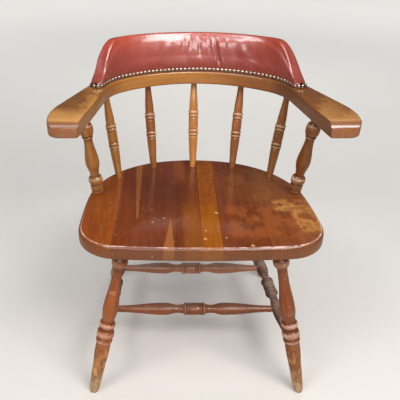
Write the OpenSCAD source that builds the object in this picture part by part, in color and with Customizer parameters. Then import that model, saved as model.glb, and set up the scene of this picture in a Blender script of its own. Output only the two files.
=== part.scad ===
// Low-backed wooden captain's chair: plank seat, turned legs, stretchers, spindles and arm posts,
// sawn arm bow and a padded, leather-covered crest with a nail border.
// Origin: floor level under the middle of the chair. X to the sitter's left, Y to the back, Z up.
// The sitter faces -Y.

/* [Seat] */
// widest part of the seat
seat_w = 540; // [480:5:600]
// height of the top of the seat at its front edge
seat_front_h = 441; // [400:1:480]
// how far the front edge stands ahead of the layout line
seat_front = 209.5; // [190:0.5:230]
// thickness of the seat boards
seat_t = 33; // [28:0.5:40]
// backward slope of the seat in degrees
seat_tilt = 2.9; // [0:0.1:5]
// plan radius of the front corners
seat_corner_r = 90; // [60:1:120]
// plan radius of the long sides
seat_side_r = 1400; // [900:10:2000]
// turn of the long sides in degrees
seat_side_turn = 5.4; // [3:0.1:9]
// plan radius of the rear corners
seat_rear_r = 232; // [200:1:260]
// plan radius of the back edge
seat_back_r = 345; // [300:1:420]
// rounding of the top edge
seat_edge_r = 9; // [4:0.5:12]
// rounding of the bottom edge
seat_under_r = 6; // [3:0.5:10]
// skew of the board seams in degrees
seam_skew = 1.7; // [0:0.1:3]
// seam between boards 1 and 2
seam_1 = -187; // [-189:0.5:-186]
// seam between boards 2 and 3
seam_2 = -147; // [-148:0.5:-146]
// seam between boards 3 and 4
seam_3 = -52; // [-80:0.5:-20]
// seam between boards 4 and 5
seam_4 = 5; // [4:0.5:20]
// seam between boards 5 and 6
seam_5 = 46; // [30:0.5:60]
// seam between boards 6 and 7
seam_6 = 86; // [70:0.5:88]
// seam between boards 7 and 8
seam_7 = 148; // [147:0.5:149]
// seam between boards 8 and 9
seam_8 = 208; // [206:0.5:215]

/* [Legs] */
// front leg at the underside of the seat, sideways
front_leg_x = 170; // [165:0.5:175]
// front leg at the underside of the seat, ahead of the layout line
front_leg_y = 145; // [135:0.5:155]
// front foot on the floor, sideways
front_foot_x = 252.5; // [235:0.5:265]
// front foot on the floor, ahead of the layout line
front_foot_y = 198; // [180:0.5:210]
// rear leg at the underside of the seat, sideways
rear_leg_x = 112; // [108:0.5:114]
// rear leg at the underside of the seat, behind the layout line
rear_leg_y = 138; // [130:0.5:145]
// rear foot on the floor, sideways
rear_foot_x = 236; // [220:0.5:245]
// rear foot on the floor, behind the layout line
rear_foot_y = 242; // [225:0.5:250]
// tenon diameter at the top of a leg
leg_tenon_d = 25; // [20:0.5:26]
// tenon length inside the seat
leg_tenon_l = 22; // [16:0.5:24]
// head of the leg under the seat
leg_head_d = 31; // [28:0.5:34]
// collar disc below the head
leg_collar_d = 36.5; // [33:0.5:40]
// slim neck below the collar
leg_neck_d = 22.6; // [20:0.2:26]
// fullest part of the long swell
leg_belly_d = 35.6; // [32:0.2:39]
// round ring below the swell
leg_ring_d = 38.4; // [35:0.2:42]
// bulb below the ring
leg_bulb_d = 41.2; // [38:0.2:45]
// band below the bulb
leg_band_d = 39; // [36:0.2:42]
// top of the plain lower leg, where the stretcher enters
leg_shank_d = 34.6; // [32:0.2:38]
// end of the leg at the floor
leg_foot_d = 22.4; // [19:0.2:28]

/* [Stretchers] */
// height of the stretcher centres above the floor
stretcher_z = 130.5; // [120:0.5:140]
// front cross stretcher ahead of the layout line
front_cross_y = 50.5; // [40:0.5:60]
// rear cross stretcher behind the layout line
rear_cross_y = 115; // [105:0.5:120]
// stretcher diameter at its ends
str_end_d = 17; // [15.5:0.5:20]
// stretcher diameter at its swellings
str_swell_d = 31; // [28:0.5:34]
// stretcher diameter at its necks
str_neck_d = 20.5; // [18:0.5:23]
// stretcher diameter at its rings
str_ring_d = 33.5; // [31:0.5:36]
// stretcher diameter at its middle barrel
str_barrel_d = 31; // [28:0.5:33]
// tenon diameter of a stretcher
str_tenon_d = 12; // [10:0.5:13]

/* [Spindles] */
// middle spindle on the seat, in from the rear edge
mid_inset = 42.3; // [38:0.1:46]
// middle spindle at the bow, behind the layout line
mid_head_y = 256; // [252:0.5:260]
// inner spindles on the seat, sideways
inner_foot_x = 106; // [105:0.5:107]
// inner spindles on the seat, in from the rear edge
inner_inset = 31.1; // [28:0.1:35]
// inner spindles at the bow, sideways
inner_head_x = 121; // [119:0.5:123]
// inner spindles at the bow, behind the layout line
inner_head_y = 234.5; // [231:0.5:237]
// outer spindles on the seat, sideways
outer_foot_x = 195.5; // [195:0.5:196.5]
// outer spindles on the seat, in from the rear edge
outer_inset = 36.8; // [34:0.1:40]
// outer spindles at the bow, sideways
outer_head_x = 221.5; // [219:0.5:224]
// outer spindles at the bow, behind the layout line
outer_head_y = 147; // [144:0.5:150]
// spindle diameter at the seat
spin_foot_d = 17.4; // [16.8:0.2:19]
// fullest part of the lower taper
spin_swell_d = 23.6; // [22:0.2:24.4]
// spindle rings
spin_ring_d = 26.4; // [25:0.2:28]
// barrel between the two pairs of rings
spin_barrel_d = 24.8; // [24:0.2:25.6]
// spindle diameter at the bow
spin_head_d = 14.4; // [13.8:0.2:16]
// tenon in the seat
spin_seat_tenon_d = 16; // [14:0.5:16.5]
// tenon in the bow
spin_bow_tenon_d = 13; // [12:0.5:13.5]
// length of a spindle tenon inside its socket
spin_tenon_l = 20; // [15:0.5:22]

/* [Arm posts] */
// post on the seat, sideways
post_foot_x = 241.5; // [239:0.5:243]
// post on the seat, behind the layout line
post_foot_y = 40; // [35:0.5:45]
// post at the arm, sideways
post_head_x = 260.5; // [255:0.5:265]
// post at the arm, behind the layout line
post_head_y = 17; // [5:0.5:30]
// base of the post
post_base_d = 30.5; // [28:0.5:33]
// lower bulb
post_bulb_d = 34; // [32:0.5:37]
// upper and lower necks
post_neck_d = 21; // [19:0.5:23]
// fullest part of the swell
post_belly_d = 33; // [30:0.5:36]
// upper bulb below the arm
post_crown_d = 32.6; // [30:0.2:36]
// tenons of the post
post_tenon_d = 19; // [16:0.5:20]

/* [Arm bow] */
// underside of the bow above the floor
bow_z = 640; // [620:1:660]
// thickness of the bow
bow_t = 34; // [30:0.5:40]
// inner edge at the back, behind the layout line
bow_in_y = 224; // [220:0.5:228]
// plan radius of the inner edge at the back
bow_in_r = 290; // [280:1:300]
// plan radius of the inner corners
bow_in_corner_r = 104; // [98:1:110]
// inner edge of an arm at the layout line, sideways
bow_in_x = 236.5; // [233:0.5:240]
// outward run of the inner edge in degrees
bow_in_flare = 11; // [9:0.2:13]
// outer edge at the back, behind the layout line
bow_out_y = 286; // [282:0.5:290]
// plan radius of the outer edge at the back
bow_out_r = 442; // [430:1:455]
// plan radius of the outer corners
bow_out_corner_r = 191; // [185:1:197]
// outer edge of an arm at the layout line, sideways
bow_out_x = 312; // [309:0.5:315]
// outward run of the outer edge in degrees
bow_out_flare = 23.2; // [20:0.2:24]
// plan radius of the outer edge near the front of an arm
bow_bulge_r = 150; // [130:1:170]
// front end of the arms, ahead of the layout line
arm_front = 104.5; // [95:0.5:110]
// plan radius of the outer front corner
arm_corner_r = 26; // [21:1:32]
// plan radius of the inner front corner
arm_inner_r = 9; // [9:1:16]
// rounding of the top edges
bow_edge_r = 5; // [4:0.5:7]
// rounding of the bottom edges
bow_under_r = 5; // [3:0.5:7]
// rolled-over top edge at the front of the arms
arm_roll_r = 24; // [10:1:26]
// diameter of the two dowels in the middle joint
bow_dowel_d = 10; // [8:0.5:12]
// half length of a dowel
bow_dowel_l = 28; // [20:1:34]

/* [Crest] */
// height of the padded crest above the bow
crest_h = 93; // [80:1:110]
// height of the crest at its tips
crest_tip_h = 13; // [12:0.5:20]
// thickness of the crest in the middle
crest_w = 46; // [42:0.5:48]
// thickness of the crest at its tips
crest_tip_w = 30; // [28:0.5:32]
// length of the level top, from the middle to each shoulder
crest_level = 193; // [140:1:200]
// length of the crest from the middle to each tip
crest_half_l = 272; // [262:1:276]
// backward lean of the crest in degrees
crest_lean = 6; // [0:0.5:10]
// leather thickness
leather_t = 1.6; // [1:0.1:2.4]
// padding thickness in the middle
pad_t = 9; // [6:0.5:11]
// padding thickness toward the tips
pad_tip_t = 4; // [3:0.5:5]
// gap kept round soft parts
soft_gap = 0.3; // [0.2:0.05:0.4]
// head diameter of a border nail
nail_d = 9.6; // [8:0.1:9.7]
// height of a nail head
nail_h = 2.8; // [2:0.1:4]
// spacing of the nails
nail_pitch = 10.1; // [10:0.1:13]
// gap between the nail row and the bow
nail_clear = 0.4; // [0.3:0.1:2]
// shank diameter of a crest screw
screw_d = 5; // [4:0.5:6]
// length of a crest screw
screw_l = 58; // [50:1:64]
// head diameter of a crest screw
screw_head_d = 9.5; // [8.5:0.5:11]
// depth of a screw pocket in the bow
screw_pocket = 8; // [6:0.5:10]

/* [Joints] */
// radial room for glue in every turned joint
joint_clear = 0.1; // [0.05:0.05:0.2]
// air left past the end of every tenon
joint_end = 0.5; // [0.3:0.1:1]

/* [Hidden] */

// chair layout: left is -X, right is +X as seen from the front
wood_seat = [0.33, 0.13, 0.07];
wood_turned = [0.58, 0.27, 0.10];
wood_low = [0.42, 0.16, 0.07];
bow_top = bow_z + bow_t;

// seat plan: front arc, corner, side, rear corner and back arc, each tangent to the next
front_arc_r = 2400;
sw = seat_w / 2;
sa1 = asin((sw - seat_corner_r) / (front_arc_r - seat_corner_r));
function low(c, r, a) = [c[0] + r * sin(a), c[1] - r * cos(a)];
sc0 = [0, front_arc_r - seat_front];
sc1 = low(sc0, front_arc_r - seat_corner_r, sa1);
sc2 = [sw - seat_side_r, sc1[1]];
sa3 = 90 + seat_side_turn;
sc3 = low(sc2, seat_side_r - seat_rear_r, sa3);
sa4 = 180 - asin(sc3[0] / (seat_back_r - seat_rear_r));
sc4 = low(sc3, seat_rear_r - seat_back_r, sa4);
seat_back = sc4[1] + seat_back_r;
back_join = seat_back_r * sin(sa4);
function rear_edge(x) = x < back_join ? sc4[1] + sqrt(pow(seat_back_r, 2) - pow(x, 2)) :
  sc3[1] + sqrt(pow(seat_rear_r, 2) - pow(x - sc3[0], 2));
mid_foot_y = rear_edge(0) - mid_inset;
inner_foot_y = rear_edge(inner_foot_x) - inner_inset;
outer_foot_y = rear_edge(outer_foot_x) - outer_inset;
seat_z0 = seat_front_h - seat_front * tan(seat_tilt);
function seat_top_z(y) = seat_z0 - y * tan(seat_tilt);
function seat_low_z(y) = seat_top_z(y) - seat_t / cos(seat_tilt);

// bow plan
function out(c, r, a) = [c[0] + r * sin(a), c[1] + r * cos(a)];
function corner_turn(y0, r0, rc, x0, fl) =
  let(na = 90 - fl, k = (x0 * cos(fl) - rc - (y0 - r0) * cos(na)) / (r0 - rc))
  na - acos(k);
ia2 = 90 - bow_in_flare;
ia1 = corner_turn(bow_in_y, bow_in_r, bow_in_corner_r, bow_in_x, bow_in_flare);
ic1 = [0, bow_in_y - bow_in_r];
ic2 = out(ic1, bow_in_r - bow_in_corner_r, ia1);
it = out(ic2, bow_in_corner_r, ia2);
oa2 = 90 - bow_out_flare;
oa1 = corner_turn(bow_out_y, bow_out_r, bow_out_corner_r, bow_out_x, bow_out_flare);
oc1 = [0, bow_out_y - bow_out_r];
oc2 = out(oc1, bow_out_r - bow_out_corner_r, oa1);
ot = out(oc2, bow_out_corner_r, oa2);
bt = [bow_out_x, 0];
bc = out(bt, -bow_bulge_r, oa2);
fcx = bc[0] + sqrt(pow(bow_bulge_r - arm_corner_r, 2) - pow(arm_corner_r - arm_front - bc[1], 2));
fc = [fcx, arm_corner_r - arm_front];
ba = 90 - atan2(fc[1] - bc[1], fc[0] - bc[0]);
gcy = arm_inner_r - arm_front;
gc = [(bow_in_x * cos(bow_in_flare) + arm_inner_r - gcy * sin(bow_in_flare)) / cos(bow_in_flare), gcy];
gt = [gc[0] - arm_inner_r * cos(bow_in_flare), gc[1] - arm_inner_r * sin(bow_in_flare)];

// crest path: measured along the inner edge of the bow
il1 = bow_in_r * ia1 * PI / 180;
il2 = il1 + bow_in_corner_r * (ia2 - ia1) * PI / 180;
function path_right(s, r) =
  s <= il1 ? out(ic1, bow_in_r + r, s / bow_in_r * 180 / PI) :
  s <= il2 ? out(ic2, bow_in_corner_r + r, ia1 + (s - il1) / bow_in_corner_r * 180 / PI) :
  [it[0] + (s - il2) * sin(bow_in_flare) + r * cos(bow_in_flare),
   it[1] - (s - il2) * cos(bow_in_flare) + r * sin(bow_in_flare)];
function path(s, r) = s >= 0 ? path_right(s, r) : let(p = path_right(-s, r)) [-p[0], p[1]];
function clamp01(v) = min(1, max(0, v));
function smooth(v) = let(q = clamp01(v)) q * q * (3 - 2 * q);
function shoulder(s) = clamp01((abs(s) - crest_level) / (crest_half_l - crest_level));
function crest_height(s) = crest_h - (crest_h - crest_tip_h) * smooth(shoulder(s));
function crest_half(s) = crest_w / 2 - (crest_w - crest_tip_w) / 2 * smooth(abs(s) / crest_half_l);
function crest_inset(s) = 1 + 5 * smooth(abs(s) / crest_half_l);
function lean(s) = crest_lean * (1 - 0.85 * smooth(abs(s) / crest_half_l));
function pad(s) = pad_t - (pad_t - pad_tip_t) * smooth(shoulder(s) * 1.6);
function nose(s, e, n) = abs(s) <= e - n ? 1 : pow(max(0, 1 - pow((abs(s) - e + n) / n, 3)), 1 / 3);
function power(v, p) = v < 0 ? -pow(-v, p) : pow(v, p);

// the whole chair stands with the origin under the middle of its bounding box
lean_out = crest_h * tan(crest_lean);
deepest = max(bow_out_y, bow_in_y + 1 + crest_w + lean_out * 0.55);
foremost = max(seat_front * cos(seat_tilt) + (seat_t - seat_under_r) * sin(seat_tilt),
  front_foot_y + leg_foot_d / 2);
y_mid = (deepest - foremost) / 2;

module place() {
  translate([0, -y_mid, 0])
    children();
}

// points p and q carry the local Z axis
module along(p, q) {
  d = q - p;
  translate(p)
    rotate([0, acos(d[2] / norm(d)), atan2(d[1], d[0])])
      children();
}

// ---- turning helpers: lists of [radius, station] ----
function bead(a, b, root, crest, n = 6) =
  [for (i = [0:n]) let(q = i / n)
    [root + (crest - root) * sqrt(max(0, 1 - pow(2 * q - 1, 2))), a + (b - a) * q]];
function ease(a, ra, b, rb, n = 5) =
  [for (i = [1:n]) let(q = i / n) [ra + (rb - ra) * (1 - cos(180 * q)) / 2, a + (b - a) * q]];
function swell(a, ra, b, rb, n = 5) =
  [for (i = [1:n]) let(q = i / n) [ra + (rb - ra) * sin(90 * q), a + (b - a) * q]];
function sink(a, ra, b, rb, n = 5) =
  [for (i = [1:n]) let(q = i / n) [ra + (rb - ra) * (1 - cos(90 * q)), a + (b - a) * q]];

module turned(pts, fn = 56) {
  // the turning starts away from the socket and the flat of the foot
  rotate([0, 0, 40])
    rotate_extrude($fn = fn)
      polygon(concat([[0, pts[0][1]]], pts, [[0, pts[len(pts) - 1][1]]]));
}

// ---- rounded planks ----
// A plank is lofted round its outline: a clockwise loop of stations, each a place and the way out of
// the wood there, swept by an edge section of [inset, height] pairs from top to bottom. The section
// runs on past both faces by spare, and the plank is then planed to its thickness.
spare = 0.3;
function edge(t, rt, rb, n = 4) = concat(
  [[rt + spare / tan(45 / n), spare]],
  [for (i = [1:n]) [rt - rt * sin(90 * i / n), -rt + rt * cos(90 * i / n)]],
  [for (i = [0:n - 1]) [rb - rb * cos(90 * i / n), -t + rb - rb * sin(90 * i / n)]],
  [[rb + spare / tan(45 / n), -t - spare]]);

// n steps of an arc round c, a and b counted clockwise from +Y; way is -1 where the arc is hollow
function arc(c, r, a, b, n, way = 1) = [for (i = [0:n]) let(g = a + (b - a) * i / n)
  [c[0] + r * sin(g), c[1] + r * cos(g), way * sin(g), way * cos(g)]];

// a loop without the doubled stations where arcs meet
function joined(q) = [for (i = [0:len(q) - 1]) let(n = q[(i + 1) % len(q)])
  if (norm([n[0] - q[i][0], n[1] - q[i][1]]) > 0.02) q[i]];

module plank(loop, t, rt, rb) {
  section = edge(t, rt, rb);
  n = len(loop);
  m = len(section);
  intersection() {
    polyhedron(
      points = [for (p = section) for (q = loop) [q[0] - p[0] * q[2], q[1] - p[0] * q[3], p[1]]],
      faces = concat(
        [[for (i = [0:n - 1]) i]],
        [[for (i = [n - 1:-1:0]) (m - 1) * n + i]],
        [for (k = [0:m - 2]) for (i = [0:n - 1]) let(j = (i + 1) % n)
          [k * n + i, (k + 1) * n + i, (k + 1) * n + j, k * n + j]]),
      convexity = 6);
    translate([-400, -400, -t])
      cube([800, 800, t]);
  }
}

// ---- seat ----
seat_half = concat(
  arc(sc4, seat_back_r, 0, 180 - sa4, 5),
  arc(sc3, seat_rear_r, 180 - sa4, 180 - sa3, 14),
  arc(sc2, seat_side_r, 180 - sa3, 90, 4),
  arc(sc1, seat_corner_r, 90, 180 - sa1, 10),
  arc(sc0, front_arc_r, 180 - sa1, 180, 4));
seat_loop = joined(concat(
  seat_half,
  [for (i = [len(seat_half) - 1:-1:0]) let(q = seat_half[i]) [-q[0], q[1], -q[2], q[3]]]));

// joints: top of each leg, foot, spindle and post centre lines
function side(p, s) = [s * p[0], p[1], p[2]];
fl_top = [front_leg_x, -front_leg_y, seat_low_z(-front_leg_y)];
fl_foot = [front_foot_x, -front_foot_y, 0];
rl_top = [rear_leg_x, rear_leg_y, seat_low_z(rear_leg_y)];
rl_foot = [rear_foot_x, rear_foot_y, 0];
s0_foot = [0, mid_foot_y, seat_top_z(mid_foot_y)];
s0_head = [0, mid_head_y, bow_z];
s1_foot = [inner_foot_x, inner_foot_y, seat_top_z(inner_foot_y)];
s1_head = [inner_head_x, inner_head_y, bow_z];
s2_foot = [outer_foot_x, outer_foot_y, seat_top_z(outer_foot_y)];
s2_head = [outer_head_x, outer_head_y, bow_z];
p_foot = [post_foot_x, post_foot_y, seat_top_z(post_foot_y)];
p_head = [post_head_x, post_head_y, bow_z];

// socket of radius r and depth d drilled at p, away from q
module socket(p, q, r, d) {
  along(p, q)
    translate([0, 0, -d - joint_end])
      cylinder(r = r + joint_clear, h = d + joint_end + 14, $fn = 48);
}

module seat_sockets(s) {
  socket(side(fl_top, s), side(fl_foot, s), leg_tenon_d / 2, leg_tenon_l);
  socket(side(rl_top, s), side(rl_foot, s), leg_tenon_d / 2, leg_tenon_l);
  socket(side(s1_foot, s), side(s1_head, s), spin_seat_tenon_d / 2, spin_tenon_l);
  socket(side(s2_foot, s), side(s2_head, s), spin_seat_tenon_d / 2, spin_tenon_l);
  socket(side(p_foot, s), side(p_head, s), post_tenon_d / 2, spin_tenon_l);
}

module seat_board(a, b) {
  color(wood_seat)
    place()
      difference() {
        translate([0, 0, seat_z0])
          rotate([-seat_tilt, 0, 0])
            intersection() {
              plank(seat_loop, seat_t, seat_edge_r, seat_under_r);
              translate([0, 0, -seat_t - 5])
                linear_extrude(height = seat_t + 10)
                  polygon([
                    [a - 300 * tan(seam_skew), -300], [b - 300 * tan(seam_skew), -300],
                    [b + 300 * tan(seam_skew), 300], [a + 300 * tan(seam_skew), 300]]);
            }
        seat_sockets(-1);
        seat_sockets(1);
        socket(s0_foot, s0_head, spin_seat_tenon_d / 2, spin_tenon_l);
      }
}

module seat_board_1() { seat_board(-330, seam_1); }
module seat_board_2() { seat_board(seam_1, seam_2); }
module seat_board_3() { seat_board(seam_2, seam_3); }
module seat_board_4() { seat_board(seam_3, seam_4); }
module seat_board_5() { seat_board(seam_4, seam_5); }
module seat_board_6() { seat_board(seam_5, seam_6); }
module seat_board_7() { seat_board(seam_6, seam_7); }
module seat_board_8() { seat_board(seam_7, seam_8); }
module seat_board_9() { seat_board(seam_8, 330); }

// ---- legs: stations run down from the underside of the seat ----
lt = leg_tenon_d / 2;
lh = leg_head_d / 2;
lc = leg_collar_d / 2;
ln = leg_neck_d / 2;
lb = leg_belly_d / 2;
lr = leg_ring_d / 2;
lu = leg_bulb_d / 2;
lv = leg_band_d / 2;
ls = leg_shank_d / 2;
lf = leg_foot_d / 2;
function leg_profile(len) = concat(
  [[lt - 0.8, -leg_tenon_l], [lt, -leg_tenon_l + 1], [lt, 5]],
  swell(5, lt, 12, lh),
  [[lh, 27], [lh - 1.2, 29.5], [lh, 31.5]],
  bead(32, 53, lh, lc),
  sink(53, lh - 0.6, 58, ln + 0.6, 3),
  [[ln, 62], [ln, 82], [ln - 0.7, 83], [ln + 0.2, 84]],
  ease(84, ln + 0.2, 172, lb, 9),
  ease(172, lb, 204, ln + 2.6, 5),
  bead(205.5, 221, lr - 5, lr),
  [[lr - 4.6, 222.5], [lr - 3, 226.5], [lr - 2.4, 229]],
  bead(229.5, 249, lu - 3, lu),
  [[lv - 2.6, 250]],
  bead(251, 263, lv - 2, lv, 5),
  [[ls - 0.8, 264.5], [ls, 268], [ls, 290]],
  ease(290, ls, 338, lf + 3.5, 4),
  [[lf + 2.6, 366], [lf + 1.1, 396], [lf, len - 8], [lf - 1.2, len - 4.6], [lf - 6, len + 8]]);

module stretcher_socket(p, q) {
  along(p, q)
    translate([0, 0, 2])
      cylinder(r = str_tenon_d / 2 + joint_clear, h = 40, $fn = 40);
}

module leg(top, foot, s, near, far) {
  len = norm(foot - top);
  color(wood_turned)
    place()
      difference() {
        along(side(top, s), side(foot, s))
          turned(leg_profile(len));
        translate([-500, -500, -50])
          cube([1000, 1000, 50]);
        stretcher_socket(side(near, s), side(far, s));
      }
}

function at_z(a, b, z) = a + (b - a) * (z - a[2]) / (b[2] - a[2]);
fs = at_z(fl_foot, fl_top, stretcher_z);
rs = at_z(rl_foot, rl_top, stretcher_z);
function at_y(a, b, y) = a + (b - a) * (y - a[1]) / (b[1] - a[1]);
fx = at_y(fs, rs, -front_cross_y);
rx = at_y(fs, rs, rear_cross_y);

module front_left_leg() { leg(fl_top, fl_foot, -1, fs, rs); }
module front_right_leg() { leg(fl_top, fl_foot, 1, fs, rs); }
module rear_left_leg() { leg(rl_top, rl_foot, -1, rs, fs); }
module rear_right_leg() { leg(rl_top, rl_foot, 1, rs, fs); }

// ---- stretchers ----
se = str_end_d / 2;
sb = str_swell_d / 2;
sn = str_neck_d / 2;
sg = str_ring_d / 2;
sm = str_barrel_d / 2;
stt = str_tenon_d / 2;
// middle motif, counted from its own centre
function motif(c) = concat(
  [[sn, c - 42]],
  ease(c - 40, sn, c - 28.5, sn + 1.4, 2),
  bead(c - 27, c - 20.5, sg - 4, sg),
  bead(c - 20, c - 13.5, sg - 3, sg - 0.5),
  [[sm - 1.8, c - 13], [sm - 0.4, c - 12], [sm, c - 5],
    [sm, c + 5], [sm - 0.4, c + 12], [sm - 1.8, c + 13]],
  bead(c + 13.5, c + 20, sg - 3, sg - 0.5),
  bead(c + 20.5, c + 27, sg - 4, sg),
  ease(c + 28.5, sn + 1.4, c + 40, sn, 2),
  [[sn, c + 42]]);
// a first tenon end, b first shoulder, m middle, g swelling distances,
// d second shoulder, e second tenon end
function stretcher_profile(a, b, g1, m, g2, d, e) = concat(
  [[stt - 0.6, a], [stt, a + 0.8], [stt, b], [se - 0.8, b], [se, b + 1.5]],
  ease(b + 10, se, g1 - 4, sb, 6),
  [[sb, g1 + 4]],
  ease(g1 + 4, sb, m - 43, sn, 4),
  motif(m),
  ease(m + 43, sn, g2 - 4, sb, 4),
  [[sb, g2 + 4]],
  ease(g2 + 4, sb, d - 10, se, 6),
  [[se, d - 1.5], [se - 0.8, d], [stt, d], [stt, e - 0.8], [stt - 0.6, e]]);

side_l = norm(rs - fs);
side_g1 = norm(fx - fs);
side_g2 = norm(rx - fs);
leg_seat = ls + 1.2;

module side_stretcher(s) {
  color(wood_low)
    place()
      difference() {
        along(side(fs, s), side(rs, s))
          turned(stretcher_profile(2 + joint_end, leg_seat, side_g1, (side_g1 + side_g2) / 2,
            side_g2, side_l - leg_seat, side_l - 2 - joint_end));
        stretcher_socket(side(fx, s), side(fx, -s));
        stretcher_socket(side(rx, s), side(rx, -s));
      }
}

module cross_stretcher(p) {
  w = 2 * p[0];
  sh = sb + 0.3;
  color(wood_low)
    place()
      along(side(p, -1), p)
        turned(stretcher_profile(2 + joint_end, sh, w / 2 - 77, w / 2, w / 2 + 77,
          w - sh, w - 2 - joint_end));
}

module left_side_stretcher() { side_stretcher(-1); }
module right_side_stretcher() { side_stretcher(1); }
module front_cross_stretcher() { cross_stretcher(fx); }
module rear_cross_stretcher() { cross_stretcher(rx); }

// ---- spindles: stations run up from the seat, k stretches them to the length needed ----
function spindle_profile(len) = let(
  k = len / 224, f = spin_foot_d / 2, w = spin_swell_d / 2, g = spin_ring_d / 2, b = spin_barrel_d / 2,
  h = spin_head_d / 2, a = spin_seat_tenon_d / 2, t = spin_bow_tenon_d / 2)
  concat(
    [[a - 0.6, -spin_tenon_l], [a, -spin_tenon_l + 0.8], [a, 3]],
    ease(3, f, 80 * k, w, 6),
    bead(82 * k, 90 * k, w - 1.2, g),
    bead(90.6 * k, 99 * k, g - 1.8, g),
    [[b - 1.2, 100 * k], [b - 0.3, 101.5 * k], [b, 108 * k],
      [b, 122 * k], [b - 0.3, 128 * k], [b - 1.2, 129.5 * k]],
    bead(130.5 * k, 138.5 * k, g - 1.8, g),
    bead(139 * k, 147 * k, g - 1.8, g),
    [[w - 0.9, 148 * k]],
    ease(148 * k, w - 0.6, len - 4, h, 7),
    [[h, len - 2], [t, len - 2], [t, len + spin_tenon_l - 0.8], [t - 0.6, len + spin_tenon_l]]);

module spindle(p, q, s) {
  color(wood_turned)
    place()
      along(side(p, s), side(q, s))
        turned(spindle_profile(norm(q - p)), 48);
}

module middle_spindle() { spindle(s0_foot, s0_head, 1); }
module inner_left_spindle() { spindle(s1_foot, s1_head, -1); }
module inner_right_spindle() { spindle(s1_foot, s1_head, 1); }
module outer_left_spindle() { spindle(s2_foot, s2_head, -1); }
module outer_right_spindle() { spindle(s2_foot, s2_head, 1); }

// ---- arm posts ----
function post_profile(len) = let(
  k = len / 213, a = post_tenon_d / 2, b = post_base_d / 2, u = post_bulb_d / 2, n = post_neck_d / 2,
  w = post_belly_d / 2, c = post_crown_d / 2)
  concat(
    [[a - 0.6, -spin_tenon_l], [a, -spin_tenon_l + 0.8], [a, 2.4], [b - 1.4, 2.4], [b - 0.6, 3.6]],
    [[b - 0.6, 9.4 * k], [b - 2, 10.4 * k]],
    bead(11 * k, 28 * k, b - 1.5, b, 5),
    bead(28.6 * k, 48.5 * k, u - 4, u),
    [[n, 51.5 * k], [n, 54 * k]],
    ease(54 * k, n, 89 * k, w, 6),
    ease(89 * k, w, 149 * k, n - 0.2, 8),
    [[n - 0.2, 153 * k]],
    bead(155.5 * k, 161.5 * k, n, n + 2.2, 5),
    bead(162 * k, 194 * k, n + 0.6, c, 8),
    [[n - 0.2, 195.5 * k], [n - 0.7, 200 * k], [n - 0.5, len - 2.2]],
    [[a, len - 2.2], [a, len + spin_tenon_l - 0.8], [a - 0.6, len + spin_tenon_l]]);

module arm_post(s) {
  color(wood_turned)
    place()
      along(side(p_foot, s), side(p_head, s))
        turned(post_profile(norm(p_head - p_foot)));
}

module left_arm_post() { arm_post(-1); }
module right_arm_post() { arm_post(1); }

// ---- arm bow: two sawn halves meeting at the middle of the back ----
arm_loop = joined(concat(
  arc(oc1, bow_out_r, 0, oa1, 8),
  arc(oc2, bow_out_corner_r, oa1, oa2, 12),
  arc(bc, bow_bulge_r, oa2, ba, 8),
  arc(fc, arm_corner_r, ba, 180, 8),
  arc(gc, arm_inner_r, 180, 270 - bow_in_flare, 5),
  arc(ic2, bow_in_corner_r, ia2, ia1, 10, -1),
  arc(ic1, bow_in_r, ia1, 0, 10, -1)));

module screw_line(s) {
  c = path(s, crest_inset(s) + crest_half(s) - 1);
  translate([c[0], c[1], bow_z])
    children();
}

screw_s1 = 56;
screw_s2 = 163;

module screw_room(s) {
  screw_line(s) {
    translate([0, 0, -1])
      cylinder(d = screw_head_d + 1, h = screw_pocket + 1, $fn = 40);
    cylinder(r = screw_d / 2 + joint_clear, h = screw_pocket + screw_l + 1, $fn = 32);
  }
}

module dowel(y, r) {
  translate([-bow_dowel_l, y, bow_z + bow_t / 2])
    rotate([0, 90, 0])
      cylinder(r = r, h = 2 * bow_dowel_l, $fn = 40);
}

dowel_y1 = bow_in_y + 14;
dowel_y2 = bow_out_y - 10.5;

module arm(s) {
  color(wood_turned)
    place()
      difference() {
        translate([0, 0, bow_top])
          mirror([s < 0 ? 1 : 0, 0, 0])
            plank(arm_loop, bow_t, bow_edge_r, bow_under_r);
        translate([s < 0 ? -400 : 150, -arm_front + arm_roll_r, bow_top - arm_roll_r])
          arm_roll();
        socket(side(s1_head, s), side(s1_foot, s), spin_bow_tenon_d / 2, spin_tenon_l);
        socket(side(s2_head, s), side(s2_foot, s), spin_bow_tenon_d / 2, spin_tenon_l);
        socket(side(p_head, s), side(p_foot, s), post_tenon_d / 2, spin_tenon_l);
        socket(s0_head, s0_foot, spin_bow_tenon_d / 2, spin_tenon_l);
        for (y = [dowel_y1, dowel_y2])
          translate([-bow_dowel_l - joint_end, y, bow_z + bow_t / 2])
            rotate([0, 90, 0])
              cylinder(r = bow_dowel_d / 2 + joint_clear, h = 2 * bow_dowel_l + 2 * joint_end, $fn = 40);
        screw_room(s * screw_s1);
        screw_room(s * screw_s2);
      }
}

// material taken off the top front edge of an arm
module arm_roll() {
  rotate([90, 0, 90])
    linear_extrude(height = 250)
      difference() {
        translate([-arm_roll_r - 5, 0])
          square([arm_roll_r + 5, arm_roll_r + 5]);
        circle(r = arm_roll_r, $fn = 96);
      }
}

module left_arm() { arm(-1); }
module right_arm() { arm(1); }
module bow_dowel_front() { color([0.75, 0.6, 0.4]) place() dowel(dowel_y1, bow_dowel_d / 2); }
module bow_dowel_rear() { color([0.75, 0.6, 0.4]) place() dowel(dowel_y2, bow_dowel_d / 2); }

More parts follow.
